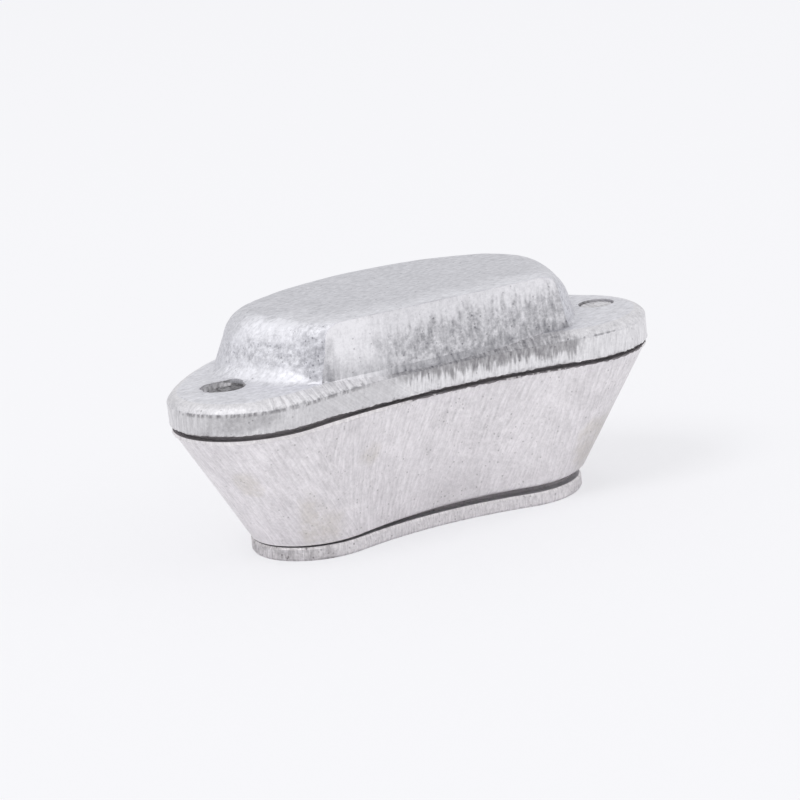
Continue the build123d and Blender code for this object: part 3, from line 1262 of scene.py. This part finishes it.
    def hollow(self) -> bpy.types.Object:
        """Builds the chamber's solid, drafted from the parting face to its roof."""
        roof = FLASK_TOP - self.roof
        taper = (roof - PARTING) * math.tan(math.radians(self.chamber_draft))
        opening, ceiling = chamber().corners(), chamber(taper).corners()
        skin = RingSkin(lift(opening, PARTING - 1.0), ALONG)
        skin.grow(lift(opening, PARTING))
        for level in range(1, 9):
            skin.grow(lift(interpolate(opening, ceiling, level / 8), PARTING + (roof - PARTING) * level / 8))
        skin.cap()
        skin.map_wrap()
        return to_object(skin.mesh, "hollow")

    def build(self) -> bpy.types.Object:
        """Joins flange and block and cuts the chamber and the ear holes.

        Returns:
            The dressed piece.
        """
        piece = self.flange()
        piece.name = self.name
        bore = [(self.hole_foot, PARTING - 1.0), (self.hole_top, EAR_TOP + 4.0)]
        holes = [cylinder(f"ear_hole_{side.name}", side.x, side.y, bore) for side in PINS]
        for side in PINS:
            if side.worn:
                wide = self.worn_top + side.worn
                flare = [(self.worn_foot, EAR_TOP - 2.4), (wide, EAR_TOP - 0.5), (wide, EAR_TOP + 4.0)]
                x, y = side.x - 0.9 * side.worn, side.y + 2.0 * side.worn
                holes.append(cylinder(f"worn_hole_{side.name}", x, y, flare, 1.6 * side.worn))
        block, *cuts = self.dome(), self.hollow(), *holes
        carve(piece, [(block, "UNION"), *((cut, "DIFFERENCE") for cut in cuts)])
        finishes = [CAST_TOP, FILED_FRONT, FILED_BEVEL, FILED_FLANGE, GAP_SHADE_SKIN, CAST_INSIDE, PIN_AND_SHADED_HOLE]
        dress(piece, finishes, self.finish, self.wear_and_painted_light)
        return piece

    def finish(self, centre: Vector, normal: Vector) -> Aluminium:
        """Chooses the finish of one face."""
        outward = Vector((centre.x - CORE_SHIFT, centre.y)).dot(Vector((normal.x, normal.y))) > 0
        if centre.z < PARTING + 0.6 and normal.z < -0.3:
            return GAP_SHADE_SKIN if centre.z > PARTING + 0.1 else CAST_INSIDE
        if normal.z < -0.5 or not outward and normal.z < 0.3:
            return CAST_INSIDE
        # The holes' walls take the pin's darker finish, as painted shade in the holes
        for side in PINS:
            away = Vector((centre.x - side.x, centre.y - side.y - 1.1 * side.worn))
            inside = centre.z < EAR_TOP - 0.02 and away.length < 3.9 + 2.4 * side.worn
            if inside and away.dot(Vector((normal.x, normal.y))) < -0.4 * away.length:
                return PIN_AND_SHADED_HOLE
        if centre.z < BEVEL_FOOT:
            return FILED_FLANGE
        plane_y = FILED_Y + (centre.z - BEVEL_FOOT) * FILED_SLOPE
        if normal.y < -0.95 and centre.y < plane_y + 0.4 and centre.z > BEVEL_FOOT - 0.1:
            return FILED_FRONT
        if centre.z < EAR_TOP - 0.12 and normal.z < 0.97:
            return FILED_BEVEL
        return CAST_TOP

    def wear_and_painted_light(self, place: Vector, normal: Vector) -> WearAndPaintedLight:
        """Gives the wear, and the painted light and shade, at one point of the lid.

        The four methods that follow place it as the photograph shows it. Their heights and reaches are in
        millimetres, and their shares of tone are matched to it.

        Args:
            place: Point in millimetres.
            normal: Direction that it faces.

        Returns:
            Its wear and painted light and shade.
        """
        x, y, z = place
        teeth = grain(Vector((x / 0.5, y / 0.5, z / 3.5)), 1.0, 2, 12.0) - 0.5
        patch = grain(place, 4.0, 3, 8.0) - 0.5
        if z < BEVEL_FOOT:
            return self.flange_wear_and_shade(place, teeth, patch)
        plane_y = FILED_Y + (z - BEVEL_FOOT) * FILED_SLOPE
        if normal.y < -0.9 and y < plane_y + 0.25:
            return self.front_wear_and_highlight(place, teeth, patch)
        if z < EAR_TOP + 0.3:
            return self.ear_wear_and_hole_shade(place, normal, teeth, patch)
        return self.block_wear_and_light(place, normal, patch)

    def flange_wear_and_shade(self, place: Vector, teeth: float, patch: float) -> WearAndPaintedLight:
        """Flange wall: dull with slanting scratches on the left, a bright filed fringe on the right, and
        ragged painted shade above the parting gap.
        """
        x, _, z = place
        front = smooth(-place.y, 6.0, 12.0)
        right = smooth(x + 5 * patch, -11.0, -6.0) * front
        rim = 32.3 - 0.8 * smooth(x, -9.0, 3.0) - 0.5 * smooth(x, 3.0, 20.0)
        fringe = smooth(rim - z + 4.5 * teeth, -0.7, 0.7)
        dull = right * (1 - fringe) * smooth(30.0 - x + 6 * patch, 0.0, 4.0)
        grey = (1 - right) * smooth(-x, 4.0, 9.0) * front
        bruise = smooth(7.0 - abs(x + 42.0) + 4 * patch, 0.0, 4.0) * smooth(z + 3 * patch, 29.6, 30.8)
        bruise *= smooth(33.4 - z, 0.0, 0.6) * front
        tone = 0.10 * right * (1 - dull) - 0.46 * dull - 0.06 * grey - 0.20 * bruise
        line = smooth(z, BEVEL_FOOT - 0.55, BEVEL_FOOT - 0.25) * smooth(-x, 12.0, 20.0) * front
        tone -= 0.5 * line * smooth(teeth + 0.6 * patch, -0.04, 0.08)
        # Painted shade: ragged dark patches just above the parting gap, along the flange's lower edge
        edge = smooth(PARTING + 0.85 - z + 0.5 * teeth, 0.0, 0.3)
        tone -= 0.35 * edge * smooth(patch, 0.0, 0.1)
        return WearAndPaintedLight(tone, 0.4 * dull + 0.5 * bruise + 0.1, 1.0 - 0.2 * grey - 0.75 * bruise)

    def front_wear_and_highlight(self, place: Vector, teeth: float, patch: float) -> WearAndPaintedLight:
        """Filed front: burnished left end and top band, both lightened further as painted highlight, cast
        skin in its middle, dull along its foot.
        """
        x, _, z = place
        foot_of_band = 40.6 + 1.7 * smooth(x, -13.0, 2.0) + 0.1 * smooth(x, 4.0, 16.0)
        band = smooth(z + 5.0 * teeth + 2.0 * patch, foot_of_band - 1.2, foot_of_band + 1.4)
        left = smooth(-x - 8 * patch - 7.0 * teeth, 8.5, 15.5)
        # Painted highlight over burnished filing: the top band and the left end are lightened, the left end
        # most near the top and darker low down
        bright = max(band, left)
        strip = smooth(34.4 + 1.9 * smooth(x, 4.0, 14.0) - z + 4.0 * teeth, -0.5, 0.9)
        strip *= smooth(x + 6 * patch, -14.0, -9.0) * (1 - 0.5 * smooth(x, 8.0, 16.0))
        fade = smooth(z, 34.0, 41.0)
        tone = bright * (0.10 + 0.14 * fade * left + 0.02 * left) - 0.20 * (1 - bright) - 0.34 * strip
        tone += 0.06 * band * smooth(x, 8.0, 16.0) - 0.28 * left * (1 - fade)
        rough_left = smooth(-x + 2 * patch, 20.0, 22.0) * smooth(44.0 - z, 0.0, 2.0)
        tone -= 0.24 * rough_left
        mottle = max((1 - bright) * (1 - 0.7 * strip), 0.6 * rough_left)
        return WearAndPaintedLight(tone, mottle, max(0.9 - 0.55 * bright * fade, strip))

    def ear_wear_and_hole_shade(self, place: Vector, normal: Vector, teeth: float, patch: float) -> WearAndPaintedLight:
        """Ears and bevel: rubbed pale, drawn over the file at the front's left, dull below the front, with
        painted shade on the walls of the holes.
        """
        x, y, z = place
        # Painted shade: the walls of the ear holes are darkened
        if any(math.hypot(x - side.x, y - side.y) < 4.9 and z < EAR_TOP - 0.2 for side in PINS):
            return WearAndPaintedLight(-0.25, 0.6, 0.0)
        slope = smooth(0.98 - normal.z, 0.0, 0.12)
        front = smooth(-y, 8.0, 16.0)
        drawn = smooth(-x, 12.0, 18.0) * smooth(40.0 + x + 3 * patch, 0.0, 6.0) * front
        foot = smooth(BEVEL_FOOT + 0.35 - z + 1.2 * teeth, 0.0, 0.3) * drawn
        below = smooth(x + 5 * patch, -13.0, -8.0) * smooth(30.0 - x + 6 * patch, 0.0, 4.0)
        below *= smooth(-y, 14.0, 18.0)
        shine = smooth(patch, -0.02, 0.12) * slope * (1 - drawn) * (1 - below) * front
        dark = below * (1 - smooth(x, 6.0, 15.0))
        cast = below * smooth(x, 6.0, 15.0)
        tone = 0.10 + 0.06 * drawn * slope + 0.06 * shine
        tone -= 0.40 * foot + 0.52 * dark + (0.30 + 0.08 * slope) * cast
        tone += 0.04 * (1 - slope) * (1 - below) - 0.06 * (1 - front) * slope
        mottle = max(0.45 * slope * (1 - drawn), 0.9 * cast, 0.15)
        return WearAndPaintedLight(tone, mottle, 0.15 + 0.95 * drawn + 0.8 * below + 0.2 * front * slope)

    def block_wear_and_light(self, place: Vector, normal: Vector, patch: float) -> WearAndPaintedLight:
        """Block: matt grey on top with a painted highlight along its front edge, pale and pitted round the
        left end with rubbed patches, and painted shade towards the left front corner.
        """
        x, y, z = place
        side = smooth(0.93 - normal.z, 0.0, 0.35)
        crown = smooth(0.998 - normal.z, 0.0, 0.05)
        end = smooth(-x + 5 * patch, 13.0, 20.0) * smooth(-y + 3 * patch, -7.0, 4.0) * crown
        upper = smooth(z + 3 * patch, 41.4, 42.6)
        foot = smooth(38.4 - z + 1.5 * patch, 0.0, 0.6)
        rub = smooth(grain(place, 7.0, 3, 5.0), 0.44, 0.52) * end * max(upper, 0.8 * foot)
        # Painted highlight: the flat top is lightened along its front edge
        front_edge_highlight = smooth(-y + 6 * patch, 11.0, 20.0) * (1 - side) * smooth(x, -26.0, -18.0)
        right = smooth(x, 20.0, 27.0) * side
        pitted = end * (1 - upper) * (1 - foot)
        dirty = smooth(grain(place, 1.6, 3, 25.0), 0.48, 0.62) * pitted
        # Painted shade: the left end is darkened towards the front corner, where it mutes the key lamp's
        # reflection; the mottle there is denser too
        corner = smooth(x + 2 * patch, -27.5, -25.0) * end * smooth(-y, 12.0, 16.0)
        tone = 0.12 * end + 0.12 * rub + 0.17 * front_edge_highlight + 0.04 * right - 0.14 * dirty - 0.22 * corner
        tone += 0.14 * smooth(-x + 4 * patch, 17.0, 23.0) * smooth(-y, 2.0, 8.0) * (1 - side)
        return WearAndPaintedLight(tone, max(pitted, 0.35 * end * (1 - rub), 0.7 * right, 0.9 * corner, 0.12), 1.0)


@dataclass
class GuidePin:
    """Turned pin, pressed into the body, with a bruised end in the lid's ear."""

    place: PinPlace
    radius: float = 3.4
    foot: float = PARTING - SOCKET_DEPTH
    tip: float = EAR_TOP - 0.4
    edge: float = 0.7
    bruise: float = 0.22
    corners: int = 72

    def build(self) -> bpy.types.Object:
        """Builds the pin ring by ring and bruises its end.

        Returns:
            The dressed piece.
        """
        shoulder = self.radius - self.edge
        levels = [(self.radius, self.foot + self.edge, 0.0), (self.radius, self.tip - self.edge, 0.0)]
        for step in range(1, 5):
            turn = step / 4 * math.pi / 2
            height = self.tip - self.edge * (1 - math.sin(turn))
            levels.append((shoulder + self.edge * math.cos(turn), height, 0.7))
        levels += [(shoulder * share, self.tip, 1.0) for share in PIN_CROWN]
        around = [2 * math.pi * self.radius * step / self.corners for step in range(self.corners)]
        centre = (self.place.x, self.place.y)
        skin = RingSkin(circle(*centre, shoulder, self.foot, self.corners), around)
        for radius, height, weight in levels:
            skin.grow(circle(*centre, radius, height, self.corners), weight)
        skin.cap()
        skin.map_wrap()
        bruise = self.bruise * (1.0 if self.place.worn else 0.3)
        skin.settle(CastSkin(bruise, 2.6, bruise, 0.9, self.place.x))
        piece = to_object(skin.mesh, f"{self.place.node}_skin")
        dress(piece, [PIN_AND_SHADED_HOLE], lambda centre, normal: PIN_AND_SHADED_HOLE, self.wear_and_painted_light)
        return piece

    def wear_and_painted_light(self, place: Vector, normal: Vector) -> WearAndPaintedLight:
        """Darkened as painted shade in the worn hole; else rubbed as pale as the ear, except round the end's
        edge.
        """
        # Painted shade: the pin in the worn hole is darkened
        if self.place.worn:
            return WearAndPaintedLight(-0.42, 0.6, 0.0)
        rim = math.hypot(place.x - self.place.x, place.y - self.place.y) > self.radius - self.edge
        return WearAndPaintedLight(-0.10 if rim else 0.16, 0.1, 0.0)


@dataclass
class Studio:
    """Pale floor, soft lamps and the camera."""

    azimuth: float = -24.99
    elevation: float = 14.61
    roll: float = -6.51
    distance: float = 604.94
    focal_pixels: float = 3084.53
    image_width: float = 800.0
    sensor: float = 36.0
    target: tuple[float, float, float] = (0.3, -1.30, 22.76)
    floor_size: float = 12.0
    floor_colour: str = "#F7F7FA"
    backdrop: str = "#F6F6F9"
    plain_share: float = 0.6
    world_strength: float = 0.80

    def camera(self) -> None:
        """Sets the camera where the photograph was taken from."""
        azimuth, elevation, roll = (math.radians(a) for a in (self.azimuth, self.elevation, self.roll))
        level = math.cos(elevation)
        back = Vector((math.sin(azimuth) * level, -math.cos(azimuth) * level, math.sin(elevation)))
        right = Vector((0.0, 0.0, 1.0)).cross(back).normalized()
        upward = back.cross(right)
        across = right * math.cos(roll) + upward * math.sin(roll)
        above = upward * math.cos(roll) - right * math.sin(roll)
        data = bpy.data.cameras.new("photo_camera")
        data.sensor_width = self.sensor
        data.lens = self.focal_pixels * self.sensor / self.image_width
        data.clip_start, data.clip_end = 0.01, 60.0
        camera = bpy.data.objects.new("photo_camera", data)
        place = (Vector(self.target) + back * self.distance) * MM
        camera.matrix_world = Matrix.Translation(place) @ Matrix((across, above, back)).transposed().to_4x4()
        bpy.context.scene.collection.objects.link(camera)
        bpy.context.scene.camera = camera

    def floor(self) -> None:
        """Lays the floor that the flask stands on."""
        mesh = bmesh.new()
        bmesh.ops.create_grid(mesh, x_segments=1, y_segments=1, size=self.floor_size / 2)
        piece = to_object(mesh, "studio_floor")
        # Matt white paper: takes the soft shadow, and to the camera runs into the pale backdrop
        made = bpy.data.materials.new("matt_white_paper")
        made.use_nodes = True
        tree = made.node_tree
        tree.nodes.clear()
        shader = add_node(tree, "ShaderNodeBsdfPrincipled", {
            "Base Color": linear(self.floor_colour), "Roughness": 1.0, "Specular IOR Level": 0.0,
        })
        glow = add_node(tree, "ShaderNodeEmission", {"Color": linear(self.backdrop), "Strength": 1.0})
        seen = add_node(tree, "ShaderNodeMath", {
            "operation": "MULTIPLY", 0: add_node(tree, "ShaderNodeLightPath").outputs["Is Camera Ray"],
            1: self.plain_share,
        })
        mixed = add_node(tree, "ShaderNodeMixShader", {0: seen, 1: shader, 2: glow})
        add_node(tree, "ShaderNodeOutputMaterial", {"Surface": mixed})
        piece.data.materials.append(made)

    def lamp(self, name: str, place: tuple[float, float, float], size: float, power: float) -> None:
        """Hangs one square lamp that faces the flask.

        Args:
            name: Name of the lamp.
            place: Place in metres.
            size: Width in metres.
            power: Power in watts.
        """
        data = bpy.data.lights.new(name, "AREA")
        data.shape = "SQUARE"
        data.size = size
        data.energy = power
        lamp = bpy.data.objects.new(name, data)
        lamp.location = place
        lamp.rotation_euler = (Vector((0.0, 0.0, 0.02)) - Vector(place)).to_track_quat("-Z", "Y").to_euler()
        bpy.context.scene.collection.objects.link(lamp)

    def build(self) -> None:
        """Sets up camera, floor, lamps and surroundings."""
        scene = bpy.context.scene
        scene.view_settings.view_transform = "Standard"
        self.camera()
        self.floor()
        self.lamp("soft_key", (-2.0, -0.6, 3.0), 1.6, 34.0)
        self.lamp("soft_fill", (2.4, -2.2, 1.8), 2.2, 8.0)
        world = bpy.data.worlds.new("studio")
        scene.world = world
        world.use_nodes = True
        tree = world.node_tree
        tree.nodes.clear()
        room = add_node(tree, "ShaderNodeBackground", {
            "Color": linear("#FFFFFF"), "Strength": self.world_strength,
        })
        seen = add_node(tree, "ShaderNodeBackground", {"Color": linear(self.backdrop), "Strength": 1.0})
        path = add_node(tree, "ShaderNodeLightPath").outputs["Is Camera Ray"]
        mixed = add_node(tree, "ShaderNodeMixShader", {0: path, 1: room, 2: seen})
        add_node(tree, "ShaderNodeOutputWorld", {"Surface": mixed})


def report(piece: bpy.types.Object, body: Body, slot: Slot, *nodes: str) -> None:
    """Hands one finished piece to the frame and logs it.

    Args:
        piece: The piece.
        body: CAD body that it rides on.
        slot: Material slot of the record; not used.
        nodes: CAD nodes that it replaces.
    """
    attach(piece, body.value)
    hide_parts(*nodes)
    log.info("%s: %d faces, rides on %s", piece.name, len(piece.data.polygons), body.value)


def main() -> None:
    """Builds the scene in order: studio, plate, ring, lid and pins."""
    logging.basicConfig(level=logging.INFO, format="%(message)s")
    Studio().build()
    report(BasePlate().build(), Body.PLATE, Slot.CASTING, "base_plate")
    report(RingBody().build(), Body.MIDDLE, Slot.CASTING, "body")
    report(Lid().build(), Body.COVER, Slot.CASTING, "lid")
    for place in PINS:
        report(GuidePin(place, edge=0.7 if place.worn else 0.4).build(), Body.MIDDLE, Slot.PIN, place.node)


if __name__ == "__main__":
    main()
